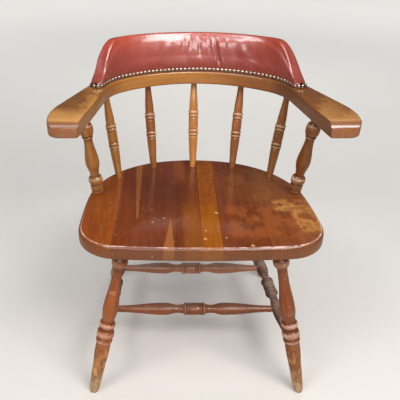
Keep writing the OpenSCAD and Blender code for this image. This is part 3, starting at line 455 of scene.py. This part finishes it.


# ---- Legs ----
# Four splayed legs turned from the same hardwood, stained a warm orange-brown and tenoned into
# the seat. The lacquer is scuffed away at the feet, the grooves are darker, and the rings are
# painted pale on top as a highlight where they are rubbed.
def turning(piece, seed):
    """Grain along a turned piece's own axis, and how far each point stands above or below those near it."""
    spot = points_of(piece)
    centred = spot - spot.mean(0)
    every = max(1, len(centred) // 4000)
    axis = np.linalg.svd(centred[::every], full_matrices=False)[2][0]
    axis = axis * np.sign(axis[np.abs(axis).argmax()])
    side = np.cross(axis, (0.3, 0.9, 0.31))
    side /= np.linalg.norm(side)
    along = centred @ axis
    off = centred - np.outer(along, axis)
    radius = np.linalg.norm(off, axis=1)
    order = np.argsort(along)
    steps = np.linspace(along.min(), along.max(), 400)
    profile = np.interp(steps, along[order], radius[order])
    near = 12
    average = np.ones(2 * near + 1) / (2 * near + 1)
    evened = np.convolve(np.pad(profile, near, mode="edge"), average, mode="valid")
    ridge = radius - np.interp(along, steps, evened)
    next_piece = np.array((2.31, 0.77, 1.13))
    grain = np.stack([along, off @ side, off @ np.cross(axis, side)], 1) + seed * next_piece
    return grain, ridge


def foot_wear(g, place, z, colour):
    """A leg's foot, scuffed through in streaks, grimy at the floor and flecked: its colour and mask."""
    along = g.stretch(place, (1.0, 1.0, 0.4))
    low = g.fall(g.plus(z, g.times(g.noise(place, 26.0, 4.0, 0.65), 0.12)), 0.13, 0.21)
    grimy = g.fall(g.plus(z, g.times(g.noise(place, 40.0, 4.0, 0.65), 0.08)), 0.06, 0.13)
    streaks = g.band(g.noise(along, 40.0, 4.0, 0.65), 0.42, 0.56)
    scuffed = g.mix(streaks, linear(216, 164, 96), linear(132, 82, 44))
    smears = g.band(g.noise(along, 70.0, 3.0, 0.6), 0.4, 0.6)
    grime = g.mix(smears, linear(204, 178, 138), linear(150, 118, 84))
    scuffed = g.mix(g.times(grimy, 0.75), scuffed, grime)
    colour = g.mix(g.times(low, 0.8), colour, scuffed)
    flecks = g.band(g.noise(g.stretch(place, (1.0, 1.0, 0.35)), 210.0, 2.0), 0.60, 0.66)
    colour = g.over(colour, g.times(flecks, g.fall(z, 0.03, 0.21)), 0.5, (196, 176, 150))
    return colour, low


def turned_finish(name, stain, heart, pale_rub_and_highlight, relief, ring_rub_and_highlight, feet=False, figure=0.7, dust_and_sheen=0.0, gloss=0.15):
    """Lacquer on a turned piece: darker grooves, rings rubbed and painted pale on top as a highlight, dust
    painted paler on top as a sheen and, on legs, worn feet.
    """
    made, g, bsdf = material(
        name, 0.4, specular_ior_level=0.15, coat_weight=0.7, coat_roughness=gloss, coat_ior=1.5)
    place = g.place()
    z = g.split(place)[2]
    upward = g.facing()[2]
    tint = g.read("stain", "Color")
    ridge = g.read("ridge", "Fac")
    wood = g.placed("wood grain", {
        "Grain": g.read("grain", "Vector"), "Stain": g.mix(1.0, tint, linear(*stain), "MULTIPLY"),
        "Heart": g.mix(1.0, tint, linear(*heart), "MULTIPLY"), "Figure": figure})
    wear = g.placed("handling wear", {"Place": place, "Amount": 0.8})
    # the grooves are darker
    groove_mask = g.fall(ridge, -0.0016 * relief, -0.0003 * relief)
    colour = g.over(wood["Color"], groove_mask, 0.6, (70, 36, 22))
    # painted highlight: the rings are painted pale, most of all on their upper sides, where they are also
    # rubbed
    high = g.times(
        g.band(ridge, 0.0004 * relief, 0.0016 * relief), g.band(wear["Rub"], 0.0, 1.0, 0.5, 1.0),
        g.band(upward, -0.35, 0.45, 0.25, 1.0))
    if feet:
        # only the rings above the plain foot are rubbed and painted pale
        high = g.times(high, g.band(z, 0.146, 0.152))
    colour = g.over(colour, high, ring_rub_and_highlight, pale_rub_and_highlight)
    # dust on the upper faces, also painted paler there as a sheen
    settled_dust_and_sheen = g.times(g.band(upward, 0.2, 0.9), g.band(g.noise(place, 38.0, 3.0), 0.35, 0.65, 0.4, 1.0))
    colour = g.over(colour, settled_dust_and_sheen, dust_and_sheen, (176, 150, 128))
    worn = wear["Scratch"]
    if feet:
        colour, low = foot_wear(g, place, z, colour)
        worn = g.math("MAXIMUM", worn, g.times(low, 0.8))
    colour = g.over(colour, wear["Chip"], 0.7, (206, 168, 130))
    g.feed(bsdf.inputs["Base Color"], g.over(colour, wear["Scratch"], 0.3, pale_rub_and_highlight))
    g.feed(bsdf.inputs["Roughness"], g.plus(0.34, g.times(g.math("MAXIMUM", worn, groove_mask), 0.22)))
    g.feed(bsdf.inputs["Coat Weight"], g.less(0.75, g.times(worn, 0.6)))
    height = g.less(g.times(wood["Height"], 0.5), g.math("MAXIMUM", worn, wear["Chip"]))
    g.feed(bsdf.inputs["Normal"], g.bump(height, 0.3, 0.0004))
    return made


def dress_turnings(finish, first_seed, tints):
    """Dresses turned pieces, each with its own tint over the stain and its own cut of the timber."""
    for seed, (name, tint) in enumerate(tints.items(), first_seed):
        grain, ridge = turning(pieces[name], seed)
        dress(pieces[name], finish, grain, ridge, linear(*tint))


leg_finish = turned_finish(
    "leg lacquer", (164, 90, 40), (120, 58, 28), (246, 206, 176), relief=1.4, ring_rub_and_highlight=0.72, feet=True)
dress_turnings(leg_finish, 0, {
    "front_left_leg": (250, 248, 240), "front_right_leg": (222, 218, 218),
    "rear_left_leg": (196, 180, 172), "rear_right_leg": (180, 170, 166)})


# ---- Stretchers ----
# Two side stretchers between the legs and two cross stretchers between those, turned with a
# ringed barrel in the middle. They are stained darker than the legs and are dusty on top, the
# rear and right ones most of all, and their tops are also painted paler as a sheen. The rear one
# is stained lighter and painted paler as light under the seat, and the right one is tinted dark
# as painted shade.
stretcher_finish = turned_finish(
    "stretcher lacquer", (152, 84, 50), (104, 54, 32), (226, 180, 156),
    relief=2.0, ring_rub_and_highlight=0.5, dust_and_sheen=0.32, gloss=0.11)
dress_turnings(stretcher_finish, 9, {
    "front_cross_stretcher": (255, 250, 246), "left_side_stretcher": (226, 214, 214)})
# painted light: a lighter stain and paler tops, so that the rear stretcher under the seat looks lit
dusty_and_lightened_finish = turned_finish(
    "dusty stretcher lacquer painted lighter", (190, 126, 90), (146, 90, 64), (216, 176, 150),
    relief=2.0, ring_rub_and_highlight=0.5, dust_and_sheen=0.75, gloss=0.12)
# painted shade: the right side stretcher is tinted dark grey over its dust
dress_turnings(dusty_and_lightened_finish, 11, {
    "rear_cross_stretcher": (255, 255, 250), "right_side_stretcher": (126, 114, 120)})


# ---- Spindles and arm posts ----
# Five turned spindles with two pairs of rings, and two stouter posts, all glued into the seat
# and the bow. They come from mixed stock, so some are honey-coloured and some redder.
spindle_finish = turned_finish(
    "spindle lacquer", (206, 144, 78), (166, 104, 56), (238, 204, 164),
    relief=0.8, ring_rub_and_highlight=0.85, figure=0.8)
dress_turnings(spindle_finish, 17, {
    "middle_spindle": (255, 252, 240), "inner_left_spindle": (204, 186, 190),
    "inner_right_spindle": (210, 194, 200), "outer_left_spindle": (222, 218, 204),
    "outer_right_spindle": (186, 178, 178), "left_arm_post": (214, 206, 188),
    "right_arm_post": (176, 158, 144)})


# ---- Arm bow ----
# Two sawn halves that meet at the middle of the back on dowels and carry the crest. The grain
# follows the curve, and the golden lacquer is mottled on top and redder on the rolled fronts.
bow_finish, g, bow_bsdf = material(
    "bow lacquer", 0.36, specular_ior_level=0.15, coat_weight=1.0, coat_roughness=0.17, coat_ior=1.55)
place = g.place()
x, y, _ = g.split(place)
to_right, to_back, upward = g.facing()
browner = g.times(g.band(x, -0.02, 0.15), g.band(y, -0.02, 0.09, 0.4, 1.0))
wood = g.placed("wood grain", {
    "Grain": g.read("grain", "Vector"), "Stain": g.mix(browner, linear(190, 134, 64), linear(144, 94, 50)),
    "Heart": g.mix(browner, linear(152, 96, 46), linear(108, 66, 38)), "Figure": 0.6})
wear = g.placed("handling wear", {"Place": place, "Amount": 0.8})
# the arm tops are mottled brown and paler again at the hands, most of all on the left
mottle = g.band(g.noise(g.stretch(place, (1.0, 0.6, 1.0)), 26.0, 4.0, 0.62), 0.40, 0.54)
on_arms = g.times(g.band(y, -0.125, -0.095), g.band(y, 0.02, 0.12, 1.0, 0.3))
colour = g.over(wood["Color"], g.times(mottle, g.band(upward, 0.5, 0.95), on_arms), 0.82, (118, 68, 30))
turned_down = g.plus(to_back, g.swing(place, 34.0, 3.0, 0.5, 0.16))
at_fronts = g.fall(y, -0.115, -0.09)
colour = g.over(colour, g.times(g.fall(turned_down, -0.32, -0.06), at_fronts), 0.8, (116, 74, 58))
hand_rub = g.times(g.fall(y, -0.105, -0.045), g.band(x, -0.2, 0.2, 1.0, 0.45), g.band(upward, 0.8, 0.98))
colour = g.over(colour, hand_rub, 0.65, (212, 156, 88))
# where the top rolls over, the lacquer is worn to a pale line
brow = g.times(g.window(turned_down, -0.26, -0.12, -0.08, -0.02), at_fronts)
colour = g.over(colour, brow, 0.4, (214, 164, 112))
# painted shade: the inner faces of the arms and the sides of the bow are painted darker than the top, the
# right arm's inner face most
shaded_inner_right = g.times(g.fall(to_right, -0.9, -0.5), g.band(x, 0.14, 0.2))
colour = g.over(colour, shaded_inner_right, 0.85, (66, 42, 38))
shaded_inner_left = g.times(g.band(to_right, 0.5, 0.9), g.fall(x, -0.2, -0.14))
colour = g.over(colour, shaded_inner_left, 0.55, (112, 66, 30))
colour = g.over(colour, g.fall(upward, 0.3, 0.8), 0.25, (170, 104, 50))
colour = g.over(colour, wear["Scratch"], 0.3, (222, 176, 126))
colour = g.over(colour, wear["Chip"], 0.75, (226, 198, 160))
g.feed(bow_bsdf.inputs["Base Color"], colour)
g.feed(bow_bsdf.inputs["Roughness"], g.plus(0.3, g.times(wear["Rub"], 0.14)))
height = g.less(g.times(wood["Height"], 0.4), g.plus(wear["Scratch"], wear["Chip"]))
g.feed(bow_bsdf.inputs["Normal"], g.bump(height, 0.25, 0.0004))

# inner edge of the bow in plan: an arc across the back, a tighter one at each corner, then straight
back_centre = cad_high.y - 0.352
back_r = 0.290
corner_r = 0.104
turn_1 = math.radians(38.18)
turn_2 = math.radians(79.0)
corner_off = back_r - corner_r
corner_x, corner_y = corner_off * math.sin(turn_1), back_centre + corner_off * math.cos(turn_1)
run_1 = back_r * turn_1
run_2 = run_1 + corner_r * (turn_2 - turn_1)
end_x, end_y = corner_x + corner_r * math.sin(turn_2), corner_y + corner_r * math.cos(turn_2)


def on_path(s, r):
    """Plan point at station s along the inner edge, r metres outside it; the left side is negative."""
    q = abs(s)
    if q <= run_1:
        a = q / back_r
        x, y = (back_r + r) * math.sin(a), back_centre + (back_r + r) * math.cos(a)
    elif q <= run_2:
        a = turn_1 + (q - run_1) / corner_r
        x, y = corner_x + (corner_r + r) * math.sin(a), corner_y + (corner_r + r) * math.cos(a)
    else:
        a = turn_2
        x = end_x + (q - run_2) * math.cos(a) + r * math.sin(a)
        y = end_y - (q - run_2) * math.sin(a) + r * math.cos(a)
    return (x if s >= 0 else -x), y


def station(x, y):
    """Station and distance outside the inner edge of plan points, the other way round from on_path."""
    q = np.abs(x)
    a = np.arctan2(q, y - back_centre)
    b = np.arctan2(q - corner_x, y - corner_y)
    past_x, past_y = q - end_x, y - end_y
    s_corner = run_1 + corner_r * (b - turn_1)
    s_straight = run_2 + past_x * math.cos(turn_2) - past_y * math.sin(turn_2)
    s = np.where(a <= turn_1, back_r * a, np.where(b <= turn_2, s_corner, s_straight))
    r_back = np.hypot(q, y - back_centre) - back_r
    r_corner = np.hypot(q - corner_x, y - corner_y) - corner_r
    r_straight = past_x * math.sin(turn_2) + past_y * math.cos(turn_2)
    r = np.where(a <= turn_1, r_back, np.where(b <= turn_2, r_corner, r_straight))
    return np.sign(x) * s, r


for name in ("left_arm", "right_arm"):
    spot = points_of(pieces[name])
    s, r = station(spot[:, 0], spot[:, 1])
    dress(pieces[name], bow_finish, np.stack([s, r + 0.6, spot[:, 2]], 1))


# ---- Hidden joinery ----
# Two dowels in the joint of the bow, four screws up through it, and the wooden core of the
# crest. The dowels and core are bare pale wood; the screws are plated steel in their pockets.
bare_wood, g, bare_bsdf = material("bare wood", 0.7)
wood = g.placed("wood grain", {
    "Grain": g.place(), "Stain": linear(206, 176, 132), "Heart": linear(176, 140, 96), "Figure": 0.6})
g.feed(bare_bsdf.inputs["Base Color"], wood["Color"])
g.feed(bare_bsdf.inputs["Normal"], g.bump(wood["Height"], 0.3, 0.0004))
for name in ("bow_dowel_front", "bow_dowel_rear", "crest_core"):
    dress(pieces[name], bare_wood, points_of(pieces[name]))

screw_plate, g, screw_bsdf = material("plated screw", 0.35, metallic=1.0)
place = g.place()
plating = g.mix(g.noise(place, 400.0), linear(186, 184, 176), linear(140, 134, 122))
g.feed(screw_bsdf.inputs["Base Color"], plating)
g.feed(screw_bsdf.inputs["Roughness"], g.band(g.noise(place, 900.0), 0.3, 0.7, 0.25, 0.5))
for i in range(1, 5):
    dress(pieces[f"crest_screw_{i}"], screw_plate, points_of(pieces[f"crest_screw_{i}"]))


# ---- Crest ----
# One hide of polished red leather stretched over a stuffed wooden core and tacked down along
# the bow. It is tight and glossy, with pull creases by the middle and puckers along the nails.
crest_base = 0.674
crest_high = cad_high.z - crest_base
crest_tip = 0.013
crest_half_length = 0.272
crest_level = 0.193
crest_thick = 0.046
crest_tip_thick = 0.030
crest_lean = 6.0


def ease(v):
    v = min(1.0, max(0.0, v))
    return v * v * (3 - 2 * v)


def crest_section(s, columns):
    """Points of the skin at station s, evenly spaced from the front edge over the top to the back edge."""
    q = abs(s)
    along = q / crest_half_length
    # the left shoulder is stuffed a little fuller than the right
    level = crest_level + (0.006 if s < 0 else 0.0)
    top = crest_high + 0.002 + (0.003 * ease(along * 1.6) if s < 0 else 0.0)
    high = top - (top - crest_tip) * ease((q - level) / (crest_half_length - level))
    full = crest_thick / 2 - (crest_thick - crest_tip_thick) / 2 * ease(along)
    half = full
    # each end is rounded off in plan
    nose = crest_tip_thick / 2
    if q > crest_half_length - nose:
        half *= max(0.0, 1 - ((q - crest_half_length + nose) / nose) ** 3) ** (1 / 3)
    half = max(half, 0.0012)
    inset = 0.001 + 0.005 * ease(along)
    lean = math.tan(math.radians(crest_lean * (1 - 0.85 * ease(along))))
    # the middle is rounder in section than the ends, which are squarest in front
    plump = 1 - ease((q - 0.150) / 0.075)
    th = np.linspace(0.0, math.pi, 400)
    c = np.cos(th)
    z = high * np.sin(th) ** (0.30 + 0.22 * plump)
    curve = np.where(c > 0, 0.30 + 0.32 * plump, 0.34 + 0.28 * plump)
    swell = np.where(c > 0, (0.001 + 0.003 * plump) * np.sin(math.pi * (z / high) ** 0.8), 0.0)
    depth = half * np.sign(c) * np.abs(c) ** curve * (1 - 0.12 * plump * z / crest_high)
    r = inset + full - depth + z * lean - swell
    run = np.concatenate([[0.0], np.cumsum(np.hypot(np.diff(r), np.diff(z)))])
    even = np.linspace(0.0, run[-1], columns)
    spaced = zip(np.interp(even, run, r), np.interp(even, run, z))
    return [(*on_path(s, outside), crest_base + above) for outside, above in spaced]


leather, g, leather_bsdf = material(
    "polished red leather", 0.3, coat_weight=0.9, coat_roughness=0.15, coat_ior=1.55)
place = g.place()
x, _, z = g.split(place)
patch = g.noise(place, 9.0, 3.0)
ragged_z = g.plus(z, g.times(patch, 0.02))
# the hide is brighter where it is worn along the top and darker low down, and its right side is painted
# darker as shade
colour = g.mix(g.band(patch, 0.3, 0.7), linear(164, 80, 68), linear(146, 66, 56))
colour = g.over(colour, g.band(ragged_z, crest_base + 0.06, crest_base + 0.105), 0.75, (182, 78, 54))
colour = g.over(colour, g.fall(ragged_z, crest_base + 0.012, crest_base + 0.05), 0.75, (120, 50, 38))
# painted shade: darker towards the right
colour = g.mix(g.band(x, 0.03, 0.16, 0.0, 0.4), colour, linear(128, 50, 40))
folds = g.read("fold", "Fac")
# painted shade: the pull creases are darkened
colour = g.over(colour, g.band(folds, 0.15, 1.0), 0.55, (104, 28, 28))


def cell_edges(g, place, scale):
    cells = {"Vector": place, "Scale": scale}
    return g.add("ShaderNodeTexVoronoi", cells, feature="DISTANCE_TO_EDGE").outputs["Distance"]


pebble = g.band(cell_edges(g, place, 620.0), 0.0, 0.22)
cracks = g.times(g.fall(cell_edges(g, place, 150.0), 0.0, 0.03), g.band(g.noise(place, 22.0), 0.5, 0.66))
g.feed(leather_bsdf.inputs["Base Color"], g.over(colour, cracks, 0.3, (92, 26, 26)))
handled = g.band(g.noise(place, 30.0, 3.0), 0.35, 0.7, 0.22, 0.36)
g.feed(leather_bsdf.inputs["Roughness"], g.plus(handled, g.times(folds, 0.1)))
height = g.plus(g.times(pebble, 0.5), g.less(g.noise(place, 110.0, 3.0), cracks))
g.feed(leather_bsdf.inputs["Normal"], g.bump(height, 0.22, 0.0005))

rows, columns = 151, 59
ends = crest_half_length * 0.9995
stations = [ends * math.copysign(abs(t) ** 0.9, t) for t in np.linspace(-1, 1, rows)]
points = [point for s in stations for point in crest_section(s, columns)]
firsts = [i * columns + j for i in range(rows - 1) for j in range(columns - 1)]
faces = [(k, k + 1, k + columns + 1, k + columns) for k in firsts]
crest = mesh_piece("crest_hide", points, faces, leather)

# the stuffing presses the hide out between its tacked edges, from a start a little inside its shape
rest = np.array(points)
start = rest.copy()
furthest_in = 0.003
furthest_out = 0.006
lift = np.clip((rest[:, 2] - crest_base - 0.012) / 0.03, 0, 1)
lift *= np.repeat(np.clip((0.225 - np.abs(stations)) / 0.06, 0, 1), columns)
centre = np.repeat(np.array([list(on_path(s, 0.024)) for s in stations]), columns, axis=0)
inward = centre - rest[:, :2]
length = np.maximum(np.linalg.norm(inward, axis=1), 1e-6)
step_in = np.minimum(length * 0.5, furthest_in)
start[:, :2] += inward / length[:, None] * step_in[:, None] * lift[:, None]
start[:, 2] -= 0.002 * lift
crest.data.vertices.foreach_set("co", start.ravel())
held = crest.vertex_groups.new(name="tacked")
low = np.where(rest[:, 2] < crest_base + 0.011)[0].tolist()
held.add(low, 1.0, "REPLACE")
cloth = crest.modifiers.new("hide", "CLOTH")
cloth.settings.quality = 6
cloth.settings.mass = 0.5
cloth.settings.tension_stiffness = 22.0
cloth.settings.compression_stiffness = 22.0
cloth.settings.shear_stiffness = 10.0
cloth.settings.bending_stiffness = 1.5
cloth.settings.use_pressure = True
cloth.settings.uniform_pressure_force = 4.0
cloth.settings.vertex_group_mass = "tacked"
cloth.settings.effector_weights.gravity = 0.0
cloth.collision_settings.use_collision = False
last_step = 20
cloth.point_cache.frame_start = 1
cloth.point_cache.frame_end = last_step
for step in range(1, last_step + 1):
    scene.frame_set(step)
eased = crest.evaluated_get(bpy.context.evaluated_depsgraph_get())
flat = np.zeros(len(rest) * 3)
eased.data.vertices.foreach_get("co", flat)
moved = flat.reshape(-1, 3) - start
far = np.maximum(np.linalg.norm(moved, axis=1), 1e-9)
moved *= np.minimum(1.0, furthest_out / far)[:, None]
crest.modifiers.remove(cloth)
scene.frame_set(1)
crest.data.vertices.foreach_set("co", (start + moved).ravel())

finer = crest.modifiers.new("finer", "SUBSURF")
finer.levels = finer.render_levels = 1
bpy.context.view_layer.update()
fine = bpy.data.meshes.new_from_object(crest.evaluated_get(bpy.context.evaluated_depsgraph_get()))
crest.modifiers.remove(finer)
crest.data = fine

spot = points_of(crest)
normal = np.zeros(len(fine.vertices) * 3)
fine.vertices.foreach_get("normal", normal)
normal = normal.reshape(-1, 3)
if float((normal[:, 2] * (spot[:, 2] > crest_base + 0.08)).sum()) < 0:
    fine.flip_normals()
    normal = -normal
s, r = station(spot[:, 0], spot[:, 1])
up = spot[:, 2] - crest_base
front = np.clip((0.022 - r) / 0.012, 0, 1)
push = np.zeros(len(spot))
fold = np.zeros(len(spot))
# pull creases: station at the top, lean, depth, width, lowest and highest point above the bow
creases = [
    (-0.031, 0.04, 0.0009, 0.0040, 0.050, 0.088), (-0.012, -0.05, 0.0015, 0.0038, 0.044, 0.089),
    (0.008, 0.05, 0.0017, 0.0042, 0.036, 0.090), (0.030, 0.10, 0.0014, 0.0036, 0.040, 0.088),
    (0.041, 0.26, 0.0024, 0.0045, 0.010, 0.086), (0.066, 0.10, 0.0009, 0.0060, 0.050, 0.086),
    (-0.072, -0.10, 0.0006, 0.0080, 0.050, 0.086), (0.118, 0.12, 0.0006, 0.0080, 0.046, 0.084),
    (-0.135, -0.12, 0.0006, 0.0090, 0.040, 0.080)]
for at, lean, depth, width, lowest, highest in creases:
    line = at + lean * (crest_high - up)
    across = (s - line) / width
    span = np.clip((up - lowest) / 0.018, 0, 1) * np.clip((highest + 0.006 - up) / 0.012, 0, 1)
    valley = np.exp(-across ** 2)
    shoulder = np.exp(-((np.abs(across) - 1.7) / 0.8) ** 2)
    push -= depth * (valley - 0.45 * shoulder) * span * front
    fold += valley * span * front * min(1.0, depth / 0.0016)
# puckers at about the pitch of the nails, along both edges
pitch = 0.0102
nail_up = 0.0125
pucker = 0.5 + 0.5 * np.cos(2 * math.pi * s / pitch)
push -= 0.0007 * pucker * np.exp(-((up - nail_up) / 0.006) ** 2)
# slow waves of hand stuffing, none along the top
easy = np.clip(up / 0.03, 0, 1) * np.clip((0.078 - up) / 0.02, 0, 1)
push += (0.0007 * np.sin(s * 61 + 1.3) * np.sin(up * 52) + 0.0004 * np.sin(s * 143 + up * 60)) * easy
spot += normal * push[:, None]
fine.vertices.foreach_set("co", spot.ravel())
folded = np.clip(fold, 0, 1).astype(np.float32)
fine.attributes.new("fold", "FLOAT", "POINT").data.foreach_set("value", folded)
for face in fine.polygons:
    face.use_smooth = True
fine.update()
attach(crest, "root")
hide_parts("crest_leather", "crest_padding")


# ---- Border nails ----
# Round-headed upholstery nails in a closed row along both edges of the hide. They are
# brass-plated steel gone grey-brown, bright on the domes and dark with dirt and painted shade
# where the heads meet.
nail_metal, g, nail_bsdf = material("antique nail metal", 0.3, metallic=1.0)
place = g.place()
tarnish = g.band(g.noise(place, 120.0, 3.0), 0.4, 0.66)
colour = g.mix(tarnish, linear(182, 168, 152), linear(168, 152, 132))
# dirt and painted shade low on each head, where it meets its neighbours and the leather
rim_dirt_and_shade = g.fall(g.read("ridge", "Fac"), 0.0002, 0.0011)
g.feed(nail_bsdf.inputs["Base Color"], g.over(colour, rim_dirt_and_shade, 0.8, (52, 42, 34)))
g.feed(nail_bsdf.inputs["Roughness"], g.plus(0.3, g.times(tarnish, 0.16)))
g.feed(nail_bsdf.inputs["Normal"], g.bump(g.noise(place, 500.0, 2.0), 0.3, 0.0003))


def head_height(piece):
    """How far each point of a row of nails stands above the seating face of its own head."""
    spot = points_of(piece)
    flat = np.zeros(len(piece.data.edges) * 2, np.int64)
    piece.data.edges.foreach_get("vertices", flat)
    _, same = np.unique(np.round(spot, 6), axis=0, return_inverse=True)
    # points joined by edges end up with the lowest number among them, one number for each head
    owner = np.arange(same.max() + 1)
    ends = same.ravel()[flat].reshape(-1, 2)
    while True:
        lowest = np.minimum(owner[ends[:, 0]], owner[ends[:, 1]])
        before = owner.copy()
        np.minimum.at(owner, ends[:, 0], lowest)
        np.minimum.at(owner, ends[:, 1], lowest)
        owner = owner[owner]
        if (owner == before).all():
            break
    head = owner[same.ravel()]
    height = np.zeros(len(spot))
    for one in np.unique(head):
        mine = head == one
        centred = spot[mine] - spot[mine].mean(0)
        # a head is thinnest along its own axis, and widest at its seating face
        axis = np.linalg.svd(centred, full_matrices=False)[2][2]
        up = centred @ axis
        wide = np.linalg.norm(centred - np.outer(up, axis), axis=1)
        up = up if up[wide.argmax()] < up.mean() else -up
        height[mine] = up - up.min()
    return height


for name in pieces:
    if name.startswith("nails_"):
        dress(pieces[name], nail_metal, points_of(pieces[name]), ridge=head_height(pieces[name]))


low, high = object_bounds()
